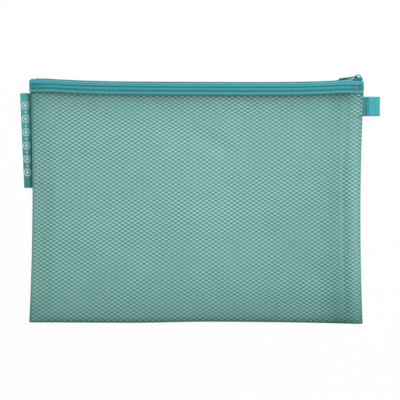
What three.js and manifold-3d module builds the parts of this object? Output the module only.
// Flat document pouch of mesh-reinforced film with a coil zipper folded over its top edge.
// It lies on its back: +X runs along the zipper, +Y points to the zipper, +Z up from the table.
// Millimetres. The origin is on the table, under the middle of the pouch.
import * as THREE from 'three';
import { mergeVertices } from 'three/addons/utils/BufferGeometryUtils.js';
import Module from 'manifold-3d';

const wasm = await Module();
wasm.setup();

// Pouch outline
const pouchWidth = 340;
const pouchHeight = 248;
const sideInset = 3.1;
const bottomInset = 1.5;

// Film panels and their turned seams
const filmThickness = 0.4;
const foldRadius = 0.4;
const seamAllowance = 6;
const seamGap = 0.3;
const frontCrest = 7.6;
const sideRise = 22;
const bottomRise = 34;
const seamClimb = 100;

// Clearances between pieces
const layerGap = 0.3;
const flapGap = 0.3;
const tableGap = 0.15;

// Zipper tapes: heights are measured from the middle of the tape under the coils
const tapeThickness = 0.5;
const tapeInnerEdge = 1.5;
const rollHalfWidth = 4.35;
const rollRadius = 0.7;
const rollDepth = 1.8;
const firstGroove = 3.0;
const bandSwell = 5.0;
const stitchGroove = 7.4;
const hemSwell = 9.4;
const tapeSkirt = 11.4;
const grooveHalfWidth = 3.55;
const bandHalfWidth = 3.75;
const stitchHalfWidth = 2.95;
const hemHalfWidth = 3.15;
const edgeHalfWidth = 2.7;
const endFoldLength = 7;
const endFoldThickness = 0.5;
const filmUnderTape = 6.9;

// Coils
const toothPitch = 1.5;
const toothNeck = 0.3;
const toothHead = 0.77;
const toothReach = 0.85;
const spineInner = 1.15;
const coilHalfWidth = 2.4;
const coilHeight = 1.2;
const coilLift = 0.15;
const coilSetback = 4.5;

// Slider
const sliderLength = 9.6;
const sliderHalfWidth = 3.65;
const sliderRearHalfWidth = 3.2;
const channelHalfWidth = 2.75;
const sliderPlate = 1.2;
const sliderBottomPlate = 0.9;
const channelClearance = 0.3;
const sliderEndGap = 0.8;
const diamondLength = 2.4;
const diamondHalfWidth = 1.05;
const crownHalfLength = 4;
const crownHeight = 4;
const crownWidth = 2.2;
const crownWall = 0.95;
const saddleHeight = 1.3;

// Pull tab
const tabLength = 18.6;
const tabHalfWidth = 2.75;
const tabEyeHalfWidth = 2.35;
const tabThickness = 0.9;
const tabBar = 0.7;
const tabEyeLength = 5.6;
const tabSideClearance = 0.35;
const tabPivotBack = 1.2;
const tabPivotLift = 2.0;

// Webbing loop in the right seam
const loopBelowTape = 4.05;
const loopWidth = 19.7;
const loopLength = 17.0;
const webbingThickness = 0.55;
const loopSlit = 0.3;
const loopBulge = 0.4;
const loopTailLength = 7;

// Ribbon label in the left seam
const labelBelowTape = 1;
const labelLength = 96.3;
const labelThickness = 0.5;
const labelTopWidth = 9.0;
const labelBottomWidth = 6.7;
const labelTailLength = 6;
const labelTailMargin = 4;

// Derived places
const halfWidth = pouchWidth / 2;
const coilBase = tapeThickness / 2 + coilLift;
const coilTop = coilBase + coilHeight;
const chainY = pouchHeight / 2 - coilTop;
const chainZ = tableGap + rollHalfWidth + tapeThickness / 2;
const tapeEdgeY = chainY - tapeSkirt;
const filmTopY = chainY - tapeSkirt + filmUnderTape;
const bottomY = -pouchHeight / 2;
const foldReach = foldRadius + filmThickness / 2;
const layerStep = tapeThickness / 2 + layerGap + filmThickness / 2;
const loopThickness = 2 * webbingThickness + loopSlit;
const pinchedSeam = seamGap / 2 + filmThickness / 2 + 2 * foldRadius;

const smooth = (t) => {
  const s = THREE.MathUtils.clamp(t, 0, 1);
  return s * s * (3 - 2 * s);
};
const mix = THREE.MathUtils.lerp;

// Colours of the real materials
const film = { color: 0x86b9b0, roughness: 0.45, metalness: 0 };
const tapeCloth = { color: 0x4fa3ac, roughness: 0.85, metalness: 0 };
const nylon = { color: 0x2f8f93, roughness: 0.5, metalness: 0 };
const paintedZinc = { color: 0x0c7480, roughness: 0.35, metalness: 0.4 };
const webbing = { color: 0x4bb0b4, roughness: 0.85, metalness: 0 };
const ribbon = { color: 0x3d9690, roughness: 0.75, metalness: 0 };

const pouch = new THREE.Group();

function place(parent, name, geometry, look) {
  const mesh = new THREE.Mesh(geometry, new THREE.MeshStandardMaterial(look));
  mesh.name = name;
  parent.add(mesh);
  return mesh;
}

// A closed solid from a sheet: its middle surface is moved out and in along the vertex normals,
// and a wall joins the two along every free edge.
function thicken(points, triangles, thickness, extraOutside = () => 0) {
  const normals = points.map(() => new THREE.Vector3());
  const edges = new Map();
  for (const [a, b, c] of triangles) {
    const normal = new THREE.Triangle(points[a], points[b], points[c]).getNormal(new THREE.Vector3());
    for (const corner of [a, b, c]) normals[corner].add(normal);
    for (const [from, to] of [[a, b], [b, c], [c, a]]) edges.set(`${from}_${to}`, [from, to]);
  }
  const positions = [];
  for (const face of [1, -1]) {
    points.forEach((point, index) => {
      const reach = thickness / 2 + (face > 0 ? extraOutside(point) : 0);
      const moved = point.clone().addScaledVector(normals[index].normalize(), face * reach);
      positions.push(moved.x, moved.y, moved.z);
    });
  }
  const inner = points.length;
  const faces = [];
  for (const [a, b, c] of triangles) {
    faces.push(a, b, c, a + inner, c + inner, b + inner);
  }
  for (const [from, to] of edges.values()) {
    if (edges.has(`${to}_${from}`)) continue;
    faces.push(to, from, from + inner, to, from + inner, to + inner);
  }
  const geometry = new THREE.BufferGeometry();
  geometry.setAttribute('position', new THREE.Float32BufferAttribute(positions, 3));
  geometry.setIndex(faces);
  return geometry;
}

// Two triangles for each cell of a grid of point numbers; turned round when flip is set.
function gridTriangles(grid, flip) {
  const triangles = [];
  for (let row = 0; row + 1 < grid.length; row += 1) {
    for (let column = 0; column + 1 < grid[row].length; column += 1) {
      const [a, b] = [grid[row][column], grid[row][column + 1]];
      const [d, c] = [grid[row + 1][column], grid[row + 1][column + 1]];
      triangles.push(...(flip ? [[a, c, b], [a, d, c]] : [[a, b, c], [a, c, d]]));
    }
  }
  return triangles;
}

// Places along a length, with no step longer than the given one between the chosen stops.
function stations(stops, longest) {
  const places = [stops[0]];
  for (let index = 1; index < stops.length; index += 1) {
    const span = stops[index] - stops[index - 1];
    const steps = Math.max(1, Math.ceil(span / longest));
    for (let step = 1; step <= steps; step += 1) places.push(stops[index - 1] + (span * step) / steps);
  }
  return places;
}

function toManifold(geometry) {
  const bare = geometry.clone();
  bare.deleteAttribute('normal');
  bare.deleteAttribute('uv');
  const merged = mergeVertices(bare, 1e-4);
  return new wasm.Manifold(new wasm.Mesh({
    numProp: 3,
    vertProperties: new Float32Array(merged.attributes.position.array),
    triVerts: new Uint32Array(merged.index.array),
  }));
}

function toGeometry(solid) {
  const mesh = solid.getMesh();
  const geometry = new THREE.BufferGeometry();
  geometry.setAttribute('position', new THREE.Float32BufferAttribute(mesh.vertProperties, 3));
  geometry.setIndex(Array.from(mesh.triVerts));
  return geometry;
}

// The side edges draw in towards the middle of their height.
function halfWidthAt(y) {
  const share = (2 * y) / pouchHeight;
  return halfWidth - foldReach - sideInset * (1 - share * share);
}

// The bottom edge draws in towards its middle, and the rows above it follow less and less.
function rowLift(x, y) {
  const share = x / halfWidth;
  const above = (y - bottomY) / bottomRise;
  return (foldReach + bottomInset * (1 - share * share)) * Math.max(0, 1 - above);
}

// Height of the seam's middle: low beside the table, and up to the chain at the zipper's end.
const bottomSeamZ = filmThickness / 2 + pinchedSeam;
function seamZ(y) {
  return mix(bottomSeamZ, chainZ, THREE.MathUtils.clamp((y - tapeEdgeY + seamClimb) / seamClimb, 0, 1));
}

// How much wider a side seam opens for what is sewn into it.
const labelTop = tapeEdgeY - labelBelowTape;
const labelBottom = labelTop - labelLength;
const loopTop = tapeEdgeY - loopBelowTape;
const loopBottom = loopTop - loopWidth;
const seamRamp = tapeEdgeY - loopTop - layerGap;
function seamOpening(side, y) {
  const [low, high, held] = side < 0
    ? [labelBottom + labelTailMargin, labelTop - labelTailMargin, labelThickness]
    : [loopBottom, loopTop, loopThickness];
  const outside = Math.max(low - y, y - high, 0);
  return (held + 2 * layerGap - seamGap) * smooth(1 - outside / seamRamp);
}

// Half thickness of the tape roll against depth below the tape's top, front and back.
const frontSkirt = [
  [rollRadius, rollHalfWidth],
  [rollDepth, rollHalfWidth],
  [firstGroove, grooveHalfWidth],
  [bandSwell, bandHalfWidth],
  [stitchGroove, stitchHalfWidth],
  [hemSwell, hemHalfWidth],
  [tapeSkirt, edgeHalfWidth],
];
const backSkirt = frontSkirt.map(([depth]) => [depth, rollHalfWidth]);
const pinchedTape = pinchedSeam + layerStep;

function along(profile, depth) {
  const at = THREE.MathUtils.clamp(depth, rollRadius, tapeSkirt);
  const next = Math.max(1, profile.findIndex(([stop]) => stop >= at));
  const [[d0, w0], [d1, w1]] = [profile[next - 1], profile[next]];
  return mix(w0, w1, (at - d0) / (d1 - d0));
}

// Towards the side seams the two skirts are drawn together.
const filmTopDepth = chainY - filmTopY;
function skirtHalfWidth(side, depth, inFromEnd) {
  const open = along(side > 0 ? frontSkirt : backSkirt, depth);
  const pinch = (1 - smooth(inFromEnd / sideRise)) * smooth((depth - rollDepth) / (filmTopDepth - rollDepth));
  return mix(open, pinchedTape, pinch);
}

// Height of a panel's middle surface along the pouch's own middle, clear of the sides.
const backStep = 4;
function middleZ(side, y) {
  if (y >= tapeEdgeY) return chainZ + side * (along(side > 0 ? frontSkirt : backSkirt, chainY - y) - layerStep);
  if (side < 0) {
    const flat = filmThickness / 2;
    const atTape = chainZ - rollHalfWidth + layerStep;
    return mix(flat, atTape, smooth((y - tapeEdgeY + 1 + backStep) / backStep));
  }
  const atTape = chainZ + edgeHalfWidth - layerStep;
  const risen = smooth((y - bottomY) / bottomRise);
  const towardsTape = smooth((y - tapeEdgeY + sideRise) / sideRise);
  return mix(bottomSeamZ + pinchedSeam, mix(frontCrest, atTape, towardsTape), risen);
}

function panelZ(side, x, y) {
  const hand = Math.sign(x) || 1;
  const atSeam = seamZ(y) + side * (pinchedSeam + seamOpening(hand, y) / 2);
  return mix(atSeam, middleZ(side, y), smooth((halfWidthAt(y) - Math.abs(x)) / sideRise));
}

// A panel: the open sheet, then a hairpin fold and an allowance along both sides and the bottom.
// The allowances are mitred at the bottom corners.
const foldAngles = [45, 90, 135, 180].map(THREE.MathUtils.degToRad);
const insetStops = [0, 0.07, 0.15, 0.35, 0.65, 1];
function panelSolid(side) {
  const points = [];
  const add = (x, y, z) => points.push(new THREE.Vector3(x, y, z)) - 1;
  const rowStops = [
    bottomY,
    bottomY + seamAllowance + 2,
    bottomY + bottomRise / 2,
    bottomY + bottomRise,
    labelBottom + labelTailMargin - seamRamp,
    labelBottom + labelTailMargin,
    loopBottom - seamRamp,
    loopBottom,
    loopTop,
    tapeEdgeY - 1,
    tapeEdgeY,
    chainY - hemSwell,
    chainY - stitchGroove,
    chainY - bandSwell,
    filmTopY,
  ];
  const rows = stations(rowStops, 24);
  const insets = stations(insetStops, 0.35);
  const shares = [...insets.map((inset) => inset - 1), ...insets.slice(0, -1).reverse().map((inset) => 1 - inset)];
  const sheet = rows.map((y) => shares.map((share) => {
    const x = share * halfWidthAt(y);
    return add(x, y + rowLift(x, y), panelZ(side, x, y));
  }));
  const triangles = gridTriangles(sheet, side < 0);

  // out is the way a flap turns before it comes back in; corner moves its end along the seam
  const flap = (edgeIndex, out, corner) => {
    const edge = points[edgeIndex];
    const turned = foldAngles.map((angle) => {
      const reach = foldRadius * Math.sin(angle);
      const drop = side * foldRadius * (1 - Math.cos(angle));
      return add(edge.x + out.x * reach, edge.y + out.y * reach, edge.z - drop);
    });
    const end = edge.clone().addScaledVector(out, -seamAllowance).add(corner);
    const back = side * 2 * foldRadius;
    return [edgeIndex, ...turned, add(end.x, end.y, end.z - back)];
  };
  const mitre = seamAllowance + layerGap;
  const none = new THREE.Vector3();
  for (const hand of [-1, 1]) {
    const out = new THREE.Vector3(hand, 0, 0);
    const column = hand < 0 ? 0 : shares.length - 1;
    const flaps = sheet.map((row, index) => flap(row[column], out, index ? none : new THREE.Vector3(0, mitre, 0)));
    triangles.push(...gridTriangles(flaps, (side < 0) !== (hand < 0)));
  }
  const down = new THREE.Vector3(0, -1, 0);
  const last = shares.length - 1;
  const hems = sheet[0].map((index, column) => {
    const inwards = column === 0 ? mitre : column === last ? -mitre : 0;
    return flap(index, down, new THREE.Vector3(inwards, 0, 0));
  });
  triangles.push(...gridTriangles(hems, side < 0));
  return thicken(points, triangles, filmThickness);
}
place(pouch, 'front_panel', panelSolid(1), film);
place(pouch, 'back_panel', panelSolid(-1), film);

// Zipper tapes: flat under the coils, rolled over the pouch's top edge and down over the film.
// Both ends are turned under, so the skirt is thicker there.
const tapeHalfLength = halfWidth - flapGap;
function tapeSolid(side) {
  const corner = [30, 60].map(THREE.MathUtils.degToRad).map((angle) => [
    rollRadius * (1 - Math.cos(angle)),
    rollHalfWidth - rollRadius * (1 - Math.sin(angle)),
  ]);
  const flat = [[0, tapeInnerEdge], [0, rollHalfWidth - rollRadius]];
  const skirtDepths = stations(frontSkirt.map(([depth]) => depth), 2.5);
  const ends = [0, 3, 6, endFoldLength - 0.4, endFoldLength, 11, 16, sideRise];
  const insets = stations([...ends, tapeHalfLength], 75);
  const xs = [...insets.map((inset) => inset - tapeHalfLength), ...insets.slice(0, -1).reverse().map((i) => tapeHalfLength - i)];
  const points = [];
  const add = (x, depth, out) => points.push(new THREE.Vector3(x, chainY - depth, chainZ + side * out)) - 1;
  const grid = xs.map((x) => [
    ...[...flat, ...corner].map(([depth, out]) => add(x, depth, out)),
    ...skirtDepths.map((depth) => add(x, depth, skirtHalfWidth(side, depth, tapeHalfLength - Math.abs(x)))),
  ]);
  const endFold = (point) => {
    const isSkirt = point.y < chainY - rollDepth;
    const isEnd = tapeHalfLength - Math.abs(point.x) < endFoldLength - 0.2;
    return isSkirt && isEnd ? endFoldThickness : 0;
  };
  return thicken(points, gridTriangles(grid, side < 0), tapeThickness, side > 0 ? endFold : () => 0);
}
place(pouch, 'front_zipper_tape', tapeSolid(1), tapeCloth);
place(pouch, 'back_zipper_tape', tapeSolid(-1), tapeCloth);

// Coils as combs: each tooth widens from neck to head, so the heads of one comb are held
// behind the heads of the other. Drawn as (x, distance from the chain's middle) and raised.
const chainHalfLength = tapeHalfLength - coilSetback;
function coilSolid(side) {
  const teeth = Math.floor((2 * chainHalfLength - toothHead) / toothPitch) - 1;
  const first = -((teeth - 1) * toothPitch) / 2 + (side * toothPitch) / 4;
  const outline = new THREE.Shape();
  outline.moveTo(chainHalfLength, spineInner);
  outline.lineTo(chainHalfLength, coilHalfWidth);
  outline.lineTo(-chainHalfLength, coilHalfWidth);
  outline.lineTo(-chainHalfLength, spineInner);
  for (let tooth = 0; tooth < teeth; tooth += 1) {
    const x = first + tooth * toothPitch;
    outline.lineTo(x - toothNeck / 2, spineInner);
    outline.lineTo(x - toothHead / 2, -toothReach);
    outline.lineTo(x + toothHead / 2, -toothReach);
    outline.lineTo(x + toothNeck / 2, spineInner);
  }
  const geometry = new THREE.ExtrudeGeometry(outline, { depth: coilHeight, bevelEnabled: false });
  geometry.rotateX(side > 0 ? Math.PI / 2 : -Math.PI / 2);
  geometry.translate(0, side > 0 ? coilTop : coilBase, 0);
  return geometry;
}
for (const [name, side] of [['front_coil', 1], ['back_coil', -1]]) {
  place(pouch, name, coilSolid(side), nylon).position.set(0, chainY, chainZ);
}

// Slider: two plates joined by a diamond at the closing end, side flanges that hold the coils,
// a slot on each side for the tape, and a crown bridge over the top.
const slider = new THREE.Group();
slider.position.set(tapeHalfLength - sliderEndGap - sliderLength / 2, chainY, chainZ);
pouch.add(slider);
const slotHalf = tapeThickness / 2 + channelClearance;
const plateUnder = coilTop + channelClearance;
const plateTop = plateUnder + sliderPlate;
const bodyBottom = -slotHalf - sliderBottomPlate;

// A plan drawing, raised from one height to another
function raised(shape, low, high, bevel = 0) {
  const geometry = new THREE.ExtrudeGeometry(shape, {
    depth: high - low - 2 * bevel,
    bevelEnabled: bevel > 0,
    bevelThickness: bevel,
    bevelSize: bevel,
    bevelOffset: -bevel,
    bevelSegments: 2,
    curveSegments: 6,
  });
  geometry.translate(0, 0, low + bevel);
  geometry.rotateX(-Math.PI / 2);
  return toManifold(geometry);
}

function sliderPlan() {
  const front = sliderLength / 2;
  const plan = new THREE.Shape();
  plan.moveTo(-front, -sliderRearHalfWidth + 1);
  plan.quadraticCurveTo(-front, -sliderRearHalfWidth, -front + 1, -sliderRearHalfWidth);
  plan.lineTo(-0.5, -sliderRearHalfWidth);
  plan.quadraticCurveTo(0.8, -sliderHalfWidth, 2, -sliderHalfWidth);
  plan.quadraticCurveTo(front, -sliderHalfWidth, front, -diamondHalfWidth - 0.6);
  plan.quadraticCurveTo(front - 0.4, 0, front, diamondHalfWidth + 0.6);
  plan.quadraticCurveTo(front, sliderHalfWidth, 2, sliderHalfWidth);
  plan.quadraticCurveTo(0.8, sliderHalfWidth, -0.5, sliderRearHalfWidth);
  plan.lineTo(-front + 1, sliderRearHalfWidth);
  plan.quadraticCurveTo(-front, sliderRearHalfWidth, -front, sliderRearHalfWidth - 1);
  return plan;
}

function rectangle(x0, y0, x1, y1) {
  return new THREE.Shape([
    new THREE.Vector2(x0, y0),
    new THREE.Vector2(x1, y0),
    new THREE.Vector2(x1, y1),
    new THREE.Vector2(x0, y1),
  ]);
}

function crownShape() {
  const crown = new THREE.Shape();
  crown.moveTo(crownHalfLength, plateTop - 0.3);
  crown.lineTo(crownHalfLength, plateTop);
  crown.absellipse(0, plateTop, crownHalfLength, crownHeight, 0, Math.PI, false, 0);
  crown.lineTo(-crownHalfLength, plateTop - 0.3);
  const eye = new THREE.Path();
  const eyeHalf = crownHalfLength - crownWall;
  const eyeHigh = crownHeight - crownWall;
  const foot = Math.asin(saddleHeight / eyeHigh);
  eye.absellipse(0, plateTop, eyeHalf, eyeHigh, foot, Math.PI - foot, false, 0);
  crown.holes.push(eye);
  return crown;
}

function sliderSolid() {
  const front = sliderLength / 2;
  const diamond = new THREE.Shape([
    new THREE.Vector2(front - 0.6, -0.35),
    new THREE.Vector2(front - 0.6, 0.35),
    new THREE.Vector2(front - 0.6 - diamondLength / 2, diamondHalfWidth),
    new THREE.Vector2(front - 0.6 - diamondLength, 0),
    new THREE.Vector2(front - 0.6 - diamondLength / 2, -diamondHalfWidth),
  ].reverse());
  const channel = raised(rectangle(-front - 1, -channelHalfWidth, front + 1, channelHalfWidth), -slotHalf, plateUnder);
  const slot = raised(rectangle(-front - 1, -rollHalfWidth, front + 1, rollHalfWidth), -slotHalf, slotHalf);
  const post = raised(diamond, bodyBottom + 0.2, plateTop - 0.2);
  const crown = new THREE.ExtrudeGeometry(crownShape(), { depth: crownWidth, bevelEnabled: false, curveSegments: 14 });
  crown.translate(0, 0, -crownWidth / 2);
  const body = raised(sliderPlan(), bodyBottom, plateTop, 0.25);
  return toGeometry(body.subtract(channel.add(slot)).add(post).add(toManifold(crown)));
}
place(slider, 'slider_body', sliderSolid(), paintedZinc);

// Pull tab: a cast plate with an eye round the crown. Its end bar turns inside the crown,
// and its tip lies just over the coils.
const tabPivotY = plateTop + tabPivotLift;
const tabDrop = tabPivotY - (coilTop + layerGap + tabThickness / 2);
const tab = new THREE.Group();
tab.position.set(-tabPivotBack, tabPivotY, 0);
tab.rotation.z = Math.asin(tabDrop / tabLength);
slider.add(tab);

function tabSolid() {
  const bevel = 0.15;
  const eyeHalf = crownWidth / 2 + tabSideClearance;
  const plan = new THREE.Shape();
  plan.moveTo(tabBar / 2, -tabEyeHalfWidth);
  plan.lineTo(tabBar / 2, tabEyeHalfWidth);
  plan.lineTo(-tabEyeLength, tabEyeHalfWidth);
  plan.quadraticCurveTo(-tabEyeLength - 2, tabEyeHalfWidth - 0.6, -tabEyeLength - 4, tabHalfWidth);
  plan.lineTo(-tabLength + tabHalfWidth, tabHalfWidth);
  plan.absarc(-tabLength + tabHalfWidth, 0, tabHalfWidth, Math.PI / 2, 1.5 * Math.PI, false);
  plan.lineTo(-tabEyeLength - 4, -tabHalfWidth);
  plan.quadraticCurveTo(-tabEyeLength - 2, -tabEyeHalfWidth + 0.6, -tabEyeLength, -tabEyeHalfWidth);
  const eye = new THREE.Path();
  eye.moveTo(-tabBar / 2, -eyeHalf);
  eye.lineTo(-tabBar / 2, eyeHalf);
  eye.lineTo(-tabEyeLength, eyeHalf);
  eye.lineTo(-tabEyeLength, -eyeHalf);
  plan.holes.push(eye);
  return toGeometry(raised(plan, -tabThickness / 2, tabThickness / 2, bevel));
}
place(tab, 'pull_tab', tabSolid(), paintedZinc);

// Webbing loop: one strip folded at its outer end, drawn in section and as wide as the strip.
// It bends at the seam, so the tail inside the seam is a solid of its own.
const seamEdgeAt = (y) => halfWidthAt(y) + foldReach;
const loopRootX = seamEdgeAt(loopTop) + loopThickness / 2 + flapGap;
function loopSection() {
  const outer = loopThickness / 2;
  const slit = loopSlit / 2;
  const straight = loopLength - 4 * outer;
  const tip = outer + loopBulge;
  const mouth = Math.asin(slit / outer);
  const section = new THREE.Shape();
  section.absarc(0, 0, outer, Math.PI / 2, Math.PI - mouth, false);
  section.lineTo(straight, slit);
  section.quadraticCurveTo(loopLength - tip, slit + loopBulge, loopLength - webbingThickness, 0);
  section.quadraticCurveTo(loopLength - tip, -slit - loopBulge, straight, -slit);
  section.absarc(0, 0, outer, Math.PI + mouth, 1.5 * Math.PI, false);
  section.lineTo(straight, -outer);
  section.bezierCurveTo(loopLength - tip, -tip, loopLength, -tip, loopLength, 0);
  section.bezierCurveTo(loopLength, tip, loopLength - tip, tip, straight, outer);
  return section;
}
const loopSolid = new THREE.ExtrudeGeometry(loopSection(), { depth: loopWidth, bevelEnabled: false, curveSegments: 6 });
loopSolid.rotateX(Math.PI / 2);
const loop = place(pouch, 'side_loop', loopSolid, webbing);
loop.position.set(loopRootX, loopTop, seamZ(loopTop));
loop.rotation.x = Math.atan2(seamZ(loopTop) - seamZ(loopBottom), loopWidth);

// A strip held in a side seam, from the seam's edge inwards
function tailSolid(side, low, high, thickness, length, z) {
  const points = [];
  const add = (x, y, height) => points.push(new THREE.Vector3(x, y, height)) - 1;
  const grid = stations([low, high], 12).map((y) => [0, length].map((inset) => {
    const x = side * (seamEdgeAt(y) - inset);
    return add(x, y, z(y));
  }));
  return thicken(points, gridTriangles(grid, side > 0), thickness);
}
const loopTail = tailSolid(1, loopBottom, loopTop, loopThickness, loopTailLength, seamZ);
place(pouch, 'side_loop_tail', loopTail, webbing);

// Ribbon label: its outer edge leans out more than the seam does.
const labelRoot = (y) => {
  const offset = labelThickness / 2 + flapGap;
  const share = (y - labelBottom) / labelLength;
  return -mix(seamEdgeAt(labelBottom), seamEdgeAt(labelTop), share) - offset;
};
function labelSolid() {
  const points = [];
  const add = (x, y) => points.push(new THREE.Vector3(x, y, seamZ(y))) - 1;
  const grid = stations([labelBottom, labelTop], 12).map((y) => {
    const width = mix(labelBottomWidth, labelTopWidth, (y - labelBottom) / labelLength);
    return [0, 0.5, 1].map((share) => add(labelRoot(y) - share * width, y));
  });
  return thicken(points, gridTriangles(grid, true), labelThickness);
}
place(pouch, 'label_ribbon', labelSolid(), ribbon);
const tailLow = labelBottom + labelTailMargin;
const tailHigh = labelTop - labelTailMargin;
place(pouch, 'label_tail', tailSolid(-1, tailLow, tailHigh, labelThickness, labelTailLength, seamZ), ribbon);

export default pouch;
